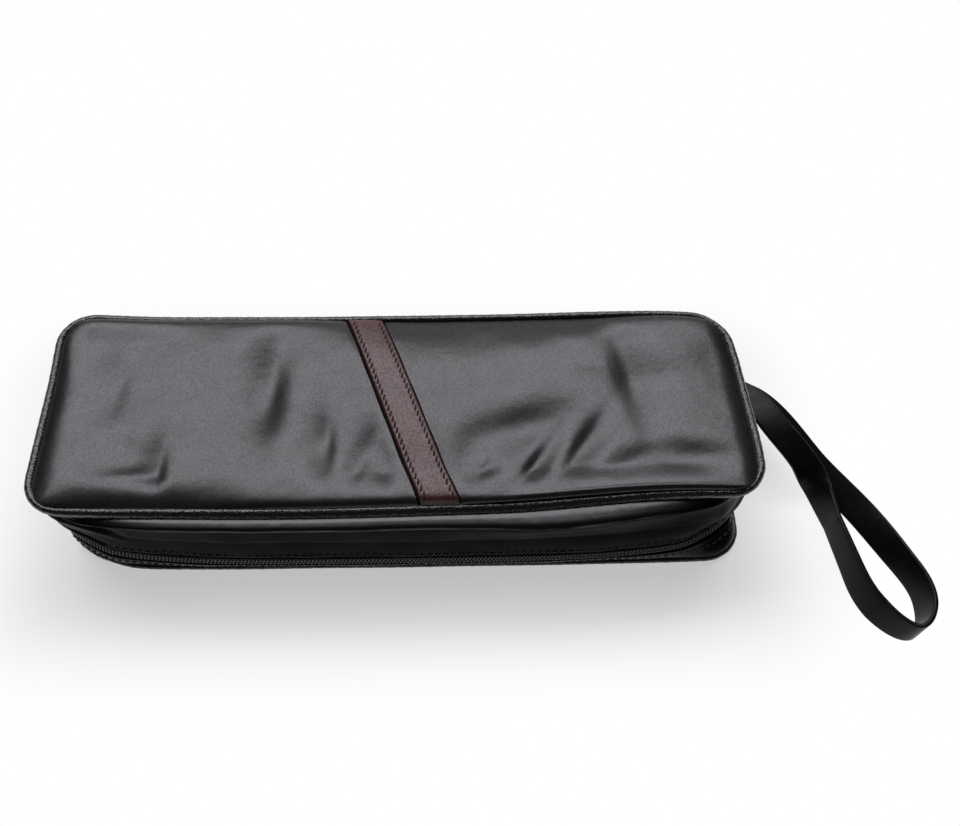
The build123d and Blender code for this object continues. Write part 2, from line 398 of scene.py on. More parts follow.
class Tree:
    """The nodes of a material or of a world. Its lengths are in millimetres."""

    def __init__(self, name, group=bpy.data.materials):
        self.owner = group.new(name)
        self.owner.use_nodes = True
        self.nodes = self.owner.node_tree.nodes
        self.links = self.owner.node_tree.links
        self.here = self.mm("Object", 1000)
        self.cloth = self.mm("UV", uv_span)

    def mm(self, output, scale):
        source = self.nodes.new("ShaderNodeTexCoord").outputs[output]
        return self.node("Mapping", "Vector", {"Vector": source, "Scale": (scale, scale, scale)})

    def put(self, value, socket):
        if isinstance(value, bpy.types.NodeSocket):
            self.links.new(value, socket)
        else:
            socket.default_value = value

    def node(self, kind, output, inputs, **settings):
        node = self.nodes.new("ShaderNode" + kind)
        for key, value in settings.items():
            setattr(node, key, value)
        for key, value in inputs.items():
            self.put(value, node.inputs[key])
        return node.outputs[output]

    def noise(self, size, detail=3, rough=0.55, vector=None, distort=0.0):
        """Soft noise whose features measure about size millimetres."""
        return self.node("TexNoise", "Fac", {
            "Vector": vector or self.here, "Scale": 1 / size, "Detail": detail,
            "Roughness": rough, "Distortion": distort,
        })

    def cells(self, size, feature="F1"):
        return self.node("TexVoronoi", "Distance", {"Vector": self.here, "Scale": 1 / size}, feature=feature)

    def wave(self, size, direction, vector=None, distort=0.0):
        """Even waves across the cloth, size millimetres apart."""
        return self.node("TexWave", "Fac", {
            "Vector": vector or self.cloth, "Scale": pi / (10 * size), "Distortion": distort, "Detail": 1.0,
        }, bands_direction=direction)

    def spread(self, value, low, high, new_low, new_high, kind="LINEAR"):
        return self.node("MapRange", "Result", {
            "Value": value, "From Min": low, "From Max": high, "To Min": new_low, "To Max": new_high,
        }, interpolation_type=kind)

    def math(self, operation, *values):
        return self.node("Math", "Value", dict(enumerate(values)), operation=operation)

    def vector(self, operation, output, *values):
        return self.node("VectorMath", output, dict(enumerate(values)), operation=operation)

    def split(self, vector):
        return [self.node("SeparateXYZ", axis, {"Vector": vector}) for axis in "XYZ"]

    def sum(self, a, part_a, b, part_b):
        return self.math("ADD", self.math("MULTIPLY", a, part_a), self.math("MULTIPLY", b, part_b))

    def colours(self, share, first, second):
        node = self.nodes.new("ShaderNodeMix")
        node.data_type = "RGBA"
        self.put(share, node.inputs[0])
        self.put((*first, 1) if isinstance(first, tuple) else first, node.inputs[6])
        self.put((*second, 1) if isinstance(second, tuple) else second, node.inputs[7])
        return node.outputs[2]

    def bump(self, height, depth, under=None):
        """A bump of depth millimetres on top of another."""
        inputs = {"Height": height, "Distance": depth / 1000, "Strength": 1.0}
        if under:
            inputs["Normal"] = under
        return self.node("Bump", "Normal", inputs)

    def set(self, **inputs):
        names = {
            "colour": "Base Color", "rough": "Roughness", "metal": "Metallic", "normal": "Normal",
            "specular": "Specular IOR Level", "sheen": "Sheen Weight", "sheen_rough": "Sheen Roughness",
        }
        for key, value in inputs.items():
            self.put(value, self.nodes["Principled BSDF"].inputs[names[key]])
        return self.owner


def painted_roll_sheen(tree, specular, shaded_level):
    """The walls' specular level, which paints light and shade: a painted sheen on the front wall's roll under
    the piping, which makes its highlight band; painted shade on the front wall below it, where the reflection
    is turned almost off; and slight specular elsewhere.
    """
    x, y, z = tree.split(tree.here)
    edge = tree.math("ADD", z, tree.spread(tree.noise(9, 2), 0.3, 0.7, -0.25, 0.25))
    edge = tree.math("SUBTRACT", edge, tree.spread(x, 22, 118, 0.0, 1.5))
    shaded_below, sheen_above = 46.3, 47.5
    painted_sheen = tree.spread(edge, shaded_below, sheen_above, 0.0, 1.0, "SMOOTHSTEP")
    front = tree.spread(y, -37, -12, 1.0, 0.0)
    # Painted sheen: full specular only on the front wall's roll
    painted_sheen = tree.math("MULTIPLY", tree.math("MULTIPLY", painted_sheen, front), specular)
    # Painted shade: below the roll the front wall's specular drops almost to nothing
    return tree.math("ADD", tree.spread(front, 0.0, 1.0, 0.2, shaded_level), painted_sheen)


def grained_leather(name, dark, light, rough, grain, depth, specular, speckle, cloud, shaded_level=None):
    """Pebbled leather with soft broad unevenness. The pores between the pebbles shine less, by the share
    speckle. Where the last argument is given, the specular level paints a sheen on the front wall's roll and
    paints shade on the rest of the front wall."""
    tree = Tree(name)
    pores = tree.noise(0.75 * grain, 2, 0.6)
    broad = tree.noise(11, 3, 0.5)
    pits = tree.spread(tree.cells(grain), 0.3, 0.65, 0.0, 1.0)
    colour = tree.colours(tree.spread(broad, 0.35, 0.7, 0, 1), dark, light)
    colour = tree.colours(tree.math("MULTIPLY", pits, 0.5), colour, tuple(0.5 * c for c in dark))
    normal = tree.bump(pores, depth, tree.bump(broad, cloud))
    uneven = tree.sum(tree.noise(6, 4), 0.6, pits, 0.15)
    shine = tree.spread(pores, 0.32, 0.68, 1 - 0.6 * speckle, 1 + 1.4 * speckle)
    shine = tree.math("ADD", shine, tree.math("MULTIPLY", pits, -speckle))
    level = specular if shaded_level is None else painted_roll_sheen(tree, specular, shaded_level)
    return tree.set(
        colour=colour, rough=tree.spread(uneven, 0.2, 0.5, rough - 0.01, rough + 0.03), normal=normal,
        specular=tree.math("MULTIPLY", shine, level),
    )


def smooth_leather(name, dark, light, rough, specular):
    """Smooth strap leather: faint pores and slight length-wise marks."""
    tree = Tree(name)
    broad = tree.noise(9, 4)
    normal = tree.bump(tree.cells(0.5, "SMOOTH_F1"), -0.022, tree.bump(broad, 0.12))
    normal = tree.bump(tree.noise(0.7, 3, 0.6, tree.cloth, 0.4), 0.02, normal)
    roughness = tree.spread(tree.noise(4, 4), 0.3, 0.7, rough - 0.05, rough + 0.07)
    colour = tree.colours(broad, dark, light)
    return tree.set(colour=colour, rough=roughness, normal=normal, specular=specular)


def creased_leather(name, dark, light, rough, specular):
    """Thin leather drawn round a cord, with short creases across it."""
    tree = Tree(name)
    across = tree.node("Mapping", "Vector", {"Vector": tree.cloth, "Scale": (1.0, 0.35, 1.0)})
    creases = tree.noise(0.75, 3, 0.65, across, 0.8)
    specks = tree.cells(0.85)
    normal = tree.bump(specks, -0.12, tree.bump(creases, 0.16))
    roughness = tree.spread(specks, 0.1, 0.6, rough - 0.05, rough + 0.1)
    colour = tree.colours(creases, dark, light)
    return tree.set(colour=colour, rough=roughness, normal=normal, specular=specular)


def fuzzy(tree, waves, fuzz, dim, bright, dark, light, smoothest, roughest, **more):
    """Finishes a cloth or thread: its waves give the colour, and fuzz dims it and roughens it."""
    share = tree.math("MULTIPLY", waves, tree.spread(fuzz, 0.2, 0.8, dim, bright))
    rough = tree.spread(fuzz, 0.2, 0.8, smoothest, roughest)
    return tree.set(colour=tree.colours(share, dark, light), rough=rough, **more)


def turned_cloth(tree, degrees):
    return tree.node("Mapping", "Vector", {"Vector": tree.cloth, "Rotation": (0, 0, radians(degrees))})


def woven(name, dark, light, pitch, depth, degrees=0):
    """Cloth or tape: two sets of threads that cross."""
    tree = Tree(name)
    vector = turned_cloth(tree, degrees) if degrees else tree.cloth
    warp = tree.wave(pitch, "X", vector, 0.6)
    weft = tree.wave(pitch, "Y", vector, 0.6)
    threads = tree.math("MAXIMUM", warp, weft)
    gaps = tree.math("MULTIPLY", warp, weft)
    fuzz = tree.noise(0.35, 3, 0.7)
    normal = tree.bump(fuzz, 0.4 * depth, tree.bump(tree.math("SUBTRACT", threads, gaps), depth))
    return fuzzy(
        tree, threads, fuzz, 0.5, 1.1, dark, light, 0.77, 0.93, normal=normal, sheen=0.15, specular=0.2,
    )


def brushed(name, dark, light):
    """Brushed lining cloth with a short nap."""
    tree = Tree(name)
    pile = tree.noise(0.5, 4, 0.7)
    patches = tree.noise(14, 3)
    return tree.set(
        colour=tree.colours(tree.sum(pile, 0.7, patches, 0.4), dark, light),
        rough=tree.spread(pile, 0.2, 0.8, 0.84, 0.98),
        normal=tree.bump(patches, 0.25, tree.bump(pile, 0.12)), sheen=0.3, sheen_rough=0.5, specular=0.15,
    )


def ribbed(name, dark, light, pitch):
    """Elastic with ribs across it."""
    tree = Tree(name)
    ribs = tree.wave(pitch, "X", distort=0.3)
    threads = tree.wave(pitch * 1.3, "Y", distort=0.5)
    fuzz = tree.noise(0.3, 3, 0.7)
    normal = tree.bump(threads, 0.05, tree.bump(ribs, 0.12))
    return fuzzy(
        tree, ribs, fuzz, 0.6, 1.0, dark, light, 0.7, 0.86, normal=normal, sheen=0.1, specular=0.25,
    )


def twisted_thread(name, dark, light, rough):
    tree = Tree(name)
    strands = tree.wave(0.34, "X", turned_cloth(tree, 38), 0.2)
    fuzz = tree.noise(0.25, 3, 0.6)
    return fuzzy(
        tree, strands, fuzz, 0.6, 1.1, dark, light, rough, rough + 0.12,
        normal=tree.bump(strands, 0.06), specular=0.35,
    )


def nylon(name, dark, light, rough):
    tree = Tree(name)
    scuffs = tree.noise(1.4, 4, 0.6)
    return tree.set(
        colour=tree.colours(scuffs, dark, light), rough=tree.spread(scuffs, 0.3, 0.7, rough, rough + 0.14),
        normal=tree.bump(scuffs, 0.02), specular=0.5,
    )


def enamelled(name, dark, light):
    """Enamelled metal, worn brighter in places."""
    tree = Tree(name)
    scratches = tree.noise(0.5, 3, 0.7, distort=1.2)
    wear = tree.math("MULTIPLY", tree.noise(2.6, 5, 0.62), scratches)
    share = tree.spread(wear, 0.2, 0.42, 0.0, 1.0)
    return tree.set(
        colour=tree.colours(share, dark, light), metal=tree.spread(share, 0, 1, 0.35, 0.9),
        rough=tree.spread(scratches, 0.3, 0.7, 0.2, 0.36), normal=tree.bump(scratches, 0.012),
    )


def fibre(name, dark, light, grain, depth, rough):
    """Pressed board or open foam."""
    tree = Tree(name)
    specks = tree.cells(grain)
    strands = tree.noise(grain * 2.5, 4, 0.65, distort=1.0)
    return tree.set(
        colour=tree.colours(tree.sum(specks, 0.5, strands, 0.5), dark, light),
        rough=tree.spread(strands, 0.2, 0.8, rough - 0.05, rough + 0.05),
        normal=tree.bump(strands, depth, tree.bump(specks, depth)), specular=0.2,
    )


def grey(level, blue=None):
    return (level, level, level if blue is None else blue)


black = grained_leather(
    "black leather", grey(0.009, 0.0095), (0.015, 0.0148, 0.0158), 0.3, 0.8, 0.026, 0.46, 0.14, 0.24
)
# The upper wall's leather is a darker, duller copy of the top's black leather: painted shade that keeps the
# walls dark
shaded_wall_leather = grained_leather(
    "shaded wall leather", grey(0.002), (0.0045, 0.0043, 0.0041), 0.28, 0.9, 0.015, 0.5, 0.05, 0.2, 0.008
)
# The lower wall's leather is also a darker, duller copy of the black leather: painted shade
shaded_base_leather = grained_leather(
    "shaded base leather", grey(0.002), (0.005, 0.0048, 0.0046), 0.3, 0.9, 0.03, 0.12, 0.15, 0.25
)
stripe_brown = grained_leather(
    "stripe leather", (0.074, 0.024, 0.021), (0.1, 0.037, 0.032), 0.36, 0.9, 0.08, 0.46, 0.24, 0.25
)
# Black for the cords along the stripe's edges, which paint the shade in the gap beside the stripe
stripe_shade_black = smooth_leather("stripe edge shade", grey(0.001), grey(0.002), 0.6, 0.05)
strap_black = smooth_leather("strap leather", (0.0025, 0.003, 0.0027), (0.0045, 0.005, 0.0047), 0.34, 0.16)
piping_black = creased_leather("piping leather", grey(0.003), grey(0.008), 0.22, 0.72)
tape_cloth = woven("zip tape cloth", grey(0.003), grey(0.012), 0.45, 0.12, 45)
pocket_weave = woven("pocket cloth", grey(0.03, 0.032), grey(0.085, 0.09), 0.5, 0.1)
coil_nylon = nylon("zip coil nylon", grey(0.003), grey(0.007), 0.13)
black_thread = twisted_thread("black thread", grey(0.012), grey(0.05, 0.052), 0.45)
stripe_thread = twisted_thread("dark red thread", (0.026, 0.004, 0.006), (0.07, 0.015, 0.019), 0.5)
lining_nap = brushed("lining cloth", grey(0.07, 0.075), grey(0.125, 0.132))
elastic_ribs = ribbed("elastic", grey(0.012, 0.0125), grey(0.04, 0.042), 0.6)
slider_enamel = enamelled("slider enamel", grey(0.02, 0.022), grey(0.07, 0.072))
grey_board = fibre("grey board", (0.34, 0.32, 0.28), (0.52, 0.49, 0.44), 1.0, 0.05, 0.85)
cream_foam = fibre("foam", (0.44, 0.42, 0.38), (0.58, 0.56, 0.5), 0.7, 0.15, 0.92)


# Walls

ring_t = np.linspace(0, around, 700, endpoint=False)


def back_share(t):
    """1 behind the zip's two ends, 0 along the zip."""
    t = np.mod(t, around)
    return 1 - smooth(zip_start - 1.5, zip_start + 1.0, t) * smooth(zip_stop + 1.5, zip_stop - 1.0, t)


# Creases in the walls: t and z of both ends, half width and depth
creases = [
    (206, 44, 226, 33, 1.6, 1.1),
    (203, 33, 219, 22, 1.5, 0.9),
    (452, 22, 470, 45, 1.5, 1.4),
    (446, 21, 463, 41, 1.4, 1.0),
    (458, 21, 474, 40, 1.3, 0.8),
]


def crease_depth(t, z):
    """How deep the creases are, with a low ridge beside each."""
    total = np.zeros(np.broadcast(t, z).shape)
    for t0, z0, t1, z1, width, depth in creases:
        run_t, run_z = t1 - t0, z1 - z0
        length = np.hypot(run_t, run_z)
        share = ((t - t0) * run_t + (z - z0) * run_z) / length ** 2
        off = ((t - t0) * run_z - (z - z0) * run_t) / length
        ends = smooth(-0.35, 0.2, share) * smooth(1.35, 0.75, share)
        total += depth * ends * (bell(off, 0, width) - 0.45 * bell(off, 2.1 * width, width))
    return total


def waviness(t, z):
    """Slight unevenness of soft leather."""
    wave = 0.12 * np.sin(t / 9.7 + z / 13) + 0.09 * np.sin(t / 5.3 - z / 7.1 + 1.7)
    return wave + 0.05 * np.sin(t / 2.9 + z / 4.3)


def pucker(t, depth):
    """The leather drawn in between one stitch and the next."""
    return depth * np.sin(2 * pi * t / wall_pitch)


def whole_wall(name, rows, body, material, node):
    """A wall right round the case, from the inset and height of its section's points."""
    t = ring_t[:, None]
    inset, height = [np.concatenate([row[k] + 0 * t for row in rows], 1) for k in (0, 1)]
    obj = swept(name, on_wall(t, inset, height), ring_t, True)
    finish_piece(obj, body, material, node)


# Outward reach and height of the roll that the front wall makes under the piping, from the seam down
# to the roll's foot. roll_share is the share of the wall's points that draw the roll.
roll_section = np.array([
    (-0.4, 47.3), (0.5, 47.7), (1.2, 47.95), (1.8, 48.05), (2.5, 48.12), (3.2, 48.12), (3.9, 48.05),
    (4.6, 47.95), (5.1, 47.75), (5.5, 47.3), (5.75, 46.6), (5.85, 45.6), (5.85, 43.6), (5.7, 39.5),
    (5.4, 34.0),
])
roll_foot = roll_section[-1, 1]
roll_share = 0.7
wall_top = 47.9


def upper_wall():
    t = ring_t[:, None]
    low = upper_edge + (fold_high - upper_edge) * back_share(t)
    foot = low + 0.75
    share = np.linspace(0, 1, 64)[None, :]
    outer_z = wall_top - (wall_top - foot) * share ** 1.5
    x, y = [np.interp(t, way, plan[:, k]) for k in (0, 1)]
    front = smooth(-24, -39, y) * np.clip(1 - (x / 121) ** 8, 0, 1)

    # The front's own section: the roll, then straight down from its foot
    span = chords(roll_section)
    shape = spline(span, roll_section)(span[-1] * np.clip(share / roll_share, 0, 1) ** 1.7)
    below = np.clip(share - roll_share, 0, None) / (1 - roll_share)
    height = np.where(below > 0, roll_foot - (roll_foot - foot) * below, shape[..., 1])
    reach = shape[..., 0]
    reach = reach + 0.6 * bell(x, 66, 34) * np.maximum(reach - 1.5, 0) * smooth(33, 44, height)
    extra = np.where(below > 0, 0.0, reach - front_swell(height))

    swell = 0.55 * np.sin(pi * np.clip((outer_z - low) / (seam_z - low), 0, 1)) ** 0.8
    outer = crease_depth(t, outer_z) + waviness(t, outer_z) * smooth(48, 44, outer_z) - swell
    outer += 0.45 * smooth(46.6, 48.2, outer_z)
    outer = outer * (1 - front * smooth(40, 44, outer_z)) - front * extra
    outer_z = outer_z + (height - outer_z) * front
    last = outer[:, -1:]
    outer = outer + pucker(t, 0.07) * bell(outer_z, low + 2.0, 1.0)
    whole_wall("upper_wall", [
        (1.5, 48.7), (0.95, 48.6), (outer, outer_z), (last + 0.1, low + 0.35), (last + 0.35, low + 0.08),
        (0.65, low), (1.05, low + 0.12), (1.28, low + 0.5), (leather, 24.2), (wall_depth, 24.6),
        (wall_depth, 36.0), (wall_depth, 47.6),
    ], "lid", shaded_wall_leather, "upper_gusset")


def lower_wall():
    t = ring_t[:, None]
    high = lower_edge + (fold_low - lower_edge) * back_share(t)
    share = np.linspace(0, 1, 14)[None, :]
    outer_z = 1.6 + (high - 0.7 - 1.6) * share
    outer = 0.7 * waviness(t, outer_z + 40) - 0.35 * np.sin(pi * share) ** 0.8
    last = outer[:, -1:]
    outer = outer + pucker(t, 0.06) * bell(outer_z, high - 2.0, 0.9)
    whole_wall("lower_wall", [
        (0.9, 1.0), (0.4, 1.1), (outer, outer_z), (last + 0.1, high - 0.3), (last + 0.4, high - 0.05),
        (0.7, high), (1.08, high - 0.14), (1.28, high - 0.5), (leather, 4.2), (wall_depth, 3.8),
        (wall_depth, 1.3),
    ], "base", shaded_base_leather, "lower_gusset")


def wall_strip(name, t, z, front, back):
    """A strip along the walls, from the inset of its front and of its back at each height."""
    inset = np.concatenate([front, back[::-1]])
    height = np.concatenate([z, z[::-1]])
    return swept(name, on_wall(t[:, None], inset[None], height[None]), t, False)


def hinge_leather():
    """The leather that joins both walls behind the zip, sunk between their turned edges."""
    t = np.linspace(zip_stop - 1, around + zip_start + 1, 300)
    z = np.concatenate([[11.5], np.linspace(12.1, 15.9, 15), [16.5]])
    groove = 0.5 + 0.55 * bell(z, zip_z, 1.3)
    obj = wall_strip("hinge_leather", t, z, groove, groove + 0.85)
    obj.data.materials.append(shaded_wall_leather)
    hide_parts("hinge_fold")
    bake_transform(obj)


def piping(name, height, radius, body, node):
    """A cord round the case under thin, slightly uneven leather."""
    t = np.linspace(0, around, 1100, endpoint=False)
    tt = t[:, None]
    angle = turns(16)[None]
    girth = radius + 0.03 * np.sin(tt / 0.62 + 1.3 * np.sin(tt / 4.1) + angle) + 0.03 * np.sin(tt / 8.3)
    girth = girth + 0.025 * np.sin(tt / 1.31 + 2 * angle) + 0.02 * np.sin(tt / 0.37 - angle)
    inset = 0.05 * np.sin(tt / 11) - girth * np.cos(angle)
    obj = swept(name, on_wall(tt, inset, height + girth * np.sin(angle)), t, True)
    finish_piece(obj, body, piping_black, node)


def wall_stitches(name, inset, height, start, stop, body):
    along_wall(name, inset, height, start, stop, wall_pitch, 2.1, 0.2, 5, body)


def along_wall(name, inset, height, start, stop, pitch, length, radius, degrees, body):
    """A row of stitches along the walls, each one turned by the degrees."""
    centres = xyz(np.arange(start, stop, pitch), inset, height)
    slant = radians(degrees)
    sew(name, centres, (1, 0, 0), (0, -1, 0), length, radius, body, slant=slant, place=wall_place)


upper_wall()
lower_wall()
hinge_leather()
piping("rim_piping", seam_z - 0.1, 1.7, "lid", "top_piping")
piping("foot_piping", 1.5, 1.3, "base", "base_piping")
wall_stitches("zip_stitches_upper", -0.352, 20.7, zip_start + 3, zip_stop - 3, "lid")
wall_stitches("zip_stitches_lower", -0.25, 7.4, zip_start + 3, zip_stop - 3, "base")
wall_stitches("fold_stitches_upper", -0.1, 18.0, zip_stop + 2, around + zip_start - 2, "lid")
wall_stitches("fold_stitches_lower", -0.25, 10.0, zip_stop + 2, around + zip_start - 2, "base")


# Zip

tape_inset, tape_thickness = 1.36, 0.5
coil_pitch, coil_inset, coil_thickness, coil_width, coil_wire = 1.4, 0.62, 0.8, 2.04, 0.3


def zip_tape(name, low, high, body, node):
    z = np.linspace(low, high, 8)
    face = np.full_like(z, tape_inset)
    obj = wall_strip(name, np.arange(zip_start, zip_stop, 1.0), z, face, face + tape_thickness)
    finish_piece(obj, body, tape_cloth, node)


def zip_coil(name, middle, phase, body, node):
    """A nylon thread wound along the edge of the tape."""
    turn = np.arange(0, (zip_stop - zip_start) / coil_pitch, 1 / 9)
    angle = 2 * pi * turn + phase
    inset = coil_inset + coil_thickness / 2 * np.sin(angle)
    path = xyz(zip_start + coil_pitch * turn, inset, middle + coil_width / 2 * np.cos(angle))
    ahead = unit(np.gradient(path, axis=0))
    side = unit(np.cross(ahead, (0.99, 0.1, 0.05)))
    up = np.cross(side, ahead)
    ring = turns(6)[:, None]
    points = path[:, None] + coil_wire * (np.cos(ring) * side[:, None] + np.sin(ring) * up[:, None])
    obj = swept(name, wall_place(points), chords(path), False)
    finish_piece(obj, body, coil_nylon, node)


def zip_cord(name, height, body):
    """The sewing line that holds the coil on its tape."""
    along_wall(name, 0.25, height, zip_start + 1, zip_stop - 1, coil_pitch, 1.0, 0.16, 24, body)


zip_tape("upper_tape", 14.5, 24.0, "lid", "upper_zip_tape")
zip_tape("lower_tape", 4.0, 13.5, "base", "lower_zip_tape")
zip_coil("upper_coil", 15.25, 0, "lid", "upper_zip_coil")
zip_coil("lower_coil", 12.75, pi, "base", "lower_zip_coil")
zip_cord("upper_coil_thread", 15.75, "lid")
zip_cord("lower_coil_thread", 12.25, "base")


# Lid's top. Each dent is a valley with one steep flank, on the left of its heading: the middle of
# its line, half length, heading in degrees, width of the steep and of the gentle flank, and depth.
dents = [
    (-104.5, 7, 13, -93, 4.5, 8.0, 1.0),
    (-99, -16, 9, -60, 4.0, 7.0, 0.5),
    (-96, -30, 11, 8, 4.0, 7.0, 0.75),
    (-85.5, -27, 12, -92, 4.0, 6.5, 1.5),
    (-49, 4, 22, -94, 7.2, 9.0, 3.6),
    (-26.6, -17, 15, -90, 4.3, 7.0, 2.0),
    (-6.6, -23, 13, -78, 4.3, 6.0, 1.9),
    (-14, -25, 12, -107, 3.4, 5.0, 1.1),
    (24.5, -27, 14, 84, 5.0, 7.0, 1.3),
    (45, -12, 18, 17, 9.0, 13.0, 2.0),
    (31, -28, 5, 60, 2.4, 4.0, 0.7),
    (49.5, -26, 13, 55, 3.2, 5.0, 1.5),
    (66.5, -20, 17, 56, 4.2, 7.0, 1.9),
    (78, -30, 18, 20, 6.2, 11.0, 1.15),
    (105, -27, 17, -5, 6.5, 12.0, 1.1),
    (89, 8, 23, 97, 7.5, 9.0, 2.3),
]
skin_low = 48.7
skin_rise = 3.7
skin_thickness = 1.0
skin_ceiling = 51.2
stripe_turn = radians(18.2)
stripe_x = 0.5
stripe_half = 6.35 / cos(stripe_turn)
stripe_end = 40.5
thread_line = 0.745


def stripe_point(w, y):
    """x on the stripe, w from its middle line along x, at y. It stays straight over the slumped rim."""
    return stripe_x - (y - hang(stripe_x - y * tan(stripe_turn), y)) * tan(stripe_turn) + w


def skin_height(x, y):
    """The top skin's outer face before the slump."""
    left, right = half_x + x, half_x - x
    front, back = half_y + y, half_y - y

    # full runs from 0 at the seam to 1, over a shorter way where the edge is steep
    soft = 3.0
    steep = 2.2 - 1.25 * bell(x, -85, 24) + 2.4 * smooth(15, 40, x)
    gap_x = 0.85 * np.minimum(left, right)
    gap_y = np.minimum(front, back) * np.where(y < 0, steep, 0.9)
    inside = np.maximum(-soft * np.log(np.exp(-gap_x / soft) + np.exp(-gap_y / soft)), 0)
    full = 1 - 0.68 * np.exp(-inside / 0.95) - 0.32 * np.exp(-inside / 3.3)
    full *= 1 - 0.95 * np.clip(1 - left / 12, 0, 1) ** 2
    full *= 1 - 0.7 * np.clip(1 - right / 9, 0, 1) ** 2
    full *= 1 - 0.8 * bell(x, -90, 30) * np.clip(1 - front / 11, 0, 1) ** 2
    z = skin_low + skin_rise * full

    # It droops at the back and towards both ends
    z -= full * (0.4 + 3.4 * smooth(-45, 10, x) * smooth(118, 70, x)) * np.clip((y - 14) / 27, 0, 1) ** 2
    z -= full * (1.3 * np.clip((x - 50) / 78, 0, 1) ** 2 + 0.5 * np.clip((-x - 80) / 48, 0, 1) ** 2)
    z -= 0.6 * back_rise(x, y) * smooth(-60, -95, x) * smooth(0.5, 14, back) * smooth(1, 14, left)

    # A lip behind the front piping, and a groove on both sides of the stripe
    z += 0.25 * smooth(30, 62, x) * (1 - smooth(116, 124, x)) * bell(front, 1.7, 0.7)
    off = x - stripe_point(0, y)
    z -= 0.35 * (bell(off, -stripe_half - 0.6, 1.2) + 0.8 * bell(off, stripe_half + 0.5, 1.2))

    swell = 0.16 * np.sin(x / 13.1 + y / 17.0) + 0.12 * np.sin(x / 7.3 - y / 11.9 + 1.1)
    swell = swell + 0.07 * np.sin(x / 4.7 + y / 5.9 + 0.5) + 0.05 * np.sin(y / 3.7 - x / 9.1)
    for dent_x, dent_y, length, turn, steep, gentle, depth in dents:
        c, s = cos(radians(turn)), sin(radians(turn))
        along = (x - dent_x) * c + (y - dent_y) * s
        across = (y - dent_y) * c - (x - dent_x) * s
        swell = swell - depth * bell(along, 0, length) * bell(across, 0, np.where(across > 0, steep, gentle))
    return z + smooth(0.5, 13.0, np.minimum(np.minimum(left, right), np.minimum(front, back))) * swell


def on_top(points):
    """x, y and height over the skin to a point in the case's own space."""
    x, y, lift = measures(points)
    return slump(xyz(x, y, skin_height(x, y) + lift))


def top_skin():
    columns, rows = 420, 150
    u, v = np.linspace(-1, 1, columns), np.linspace(-1, 1, rows)
    u = 0.75 * u + 0.25 * np.sin(u * pi / 2)
    v = 0.6 * v + 0.4 * np.sin(v * pi / 2)
    x, y = plan_grid(u, v, 0.35)
    outer = on_top(xyz(x, y, 0.0))
    under = slump(xyz(x, y, np.minimum(skin_height(x, y) - skin_thickness, skin_ceiling)))
    faces, _ = two_sheets(rows, columns)
    obj = make("top_skin", np.stack([outer, under]), faces)
    finish_piece(obj, "lid", black, "top_panel")


# Half of the stripe's section: share of its half width, and height. It dips along the stitches.
stripe_section = [
    (-0.5, -0.25), (-1.0, -0.25), (-1.0, 0.35), (-0.985, 0.62), (-0.95, 0.8), (-0.88, 0.86), (-0.8, 0.82),
    (-thread_line, 0.72), (-0.69, 0.82), (-0.6, 0.9), (-0.35, 0.95),
]


def stripe():
    section = stripe_section + [(0, 0.97)] + [(-w, lift) for w, lift in stripe_section[::-1]]
    section = np.array(section[1:] + section[:1])
    y = np.linspace(-stripe_end, stripe_end, 150)[:, None]
    draw = 0.03 * np.sin(2 * pi * y / 2.8) * (np.abs(section[:, 0]) > 0.65)
    ends = smooth(stripe_end, stripe_end - 1.2, np.abs(y))
    lift = -0.25 + (section[:, 1] + draw + 0.25) * (0.5 + 0.5 * ends)
    points = on_top(xyz(stripe_point(section[:, 0] * stripe_half, y), y, lift))
    obj = swept("stripe", points, y[:, 0] + stripe_end, False)
    finish_piece(obj, "lid", stripe_brown, "accent_stripe")


def stripe_edge_shade():
    """The stripe's two dark cut edges and the gap beside each, as black cords: painted shade, wider on the
    left, where the shade is wider.
    """
    y = np.linspace(-stripe_end, stripe_end, 200)[:, None]
    angle = turns(10)
    lift = 0.05 + 0.24 * np.sin(angle)
    for name, side, width in (("stripe_shade_left", -1, 0.55), ("stripe_shade_right", 1, 0.38)):
        w = side * (stripe_half + width - 0.12) + width * np.cos(angle) + 0.07 * np.sin(y / 3.1 + side)
        obj = swept(name, on_top(xyz(stripe_point(w, y), y, lift)), y[:, 0] + stripe_end, False)
        finish_piece(obj, "lid", stripe_shade_black)


def stripe_stitches():
    y = np.arange(-stripe_end + 2, stripe_end - 1.5, 2.5 * cos(stripe_turn))
    ahead = (-sin(stripe_turn), cos(stripe_turn), 0)
    for name, side in (("stripe_stitches_left", -1), ("stripe_stitches_right", 1)):
        x = stripe_point(side * thread_line * stripe_half, y)
        sew(
            name, xyz(x, y, 0.86), ahead, (0, 0, 1), 2.8, 0.36, "lid",
            stripe_thread, radians(-26), on_top,
        )


top_skin()
stripe()
stripe_edge_shade()
stripe_stitches()


# Patches over the zip's ends. Each ring of the section is in from the outline and out from the wall.

patch_low, patch_high, patch_corner = 3.2, 24.0, 2.1
patch_section = [
    (0.0, 0.1), (0.0, 0.75), (0.12, 1.08), (0.4, 1.27), (0.9, 1.32), (1.4, 1.26), (1.9, 1.34), (2.6, 1.4),
]


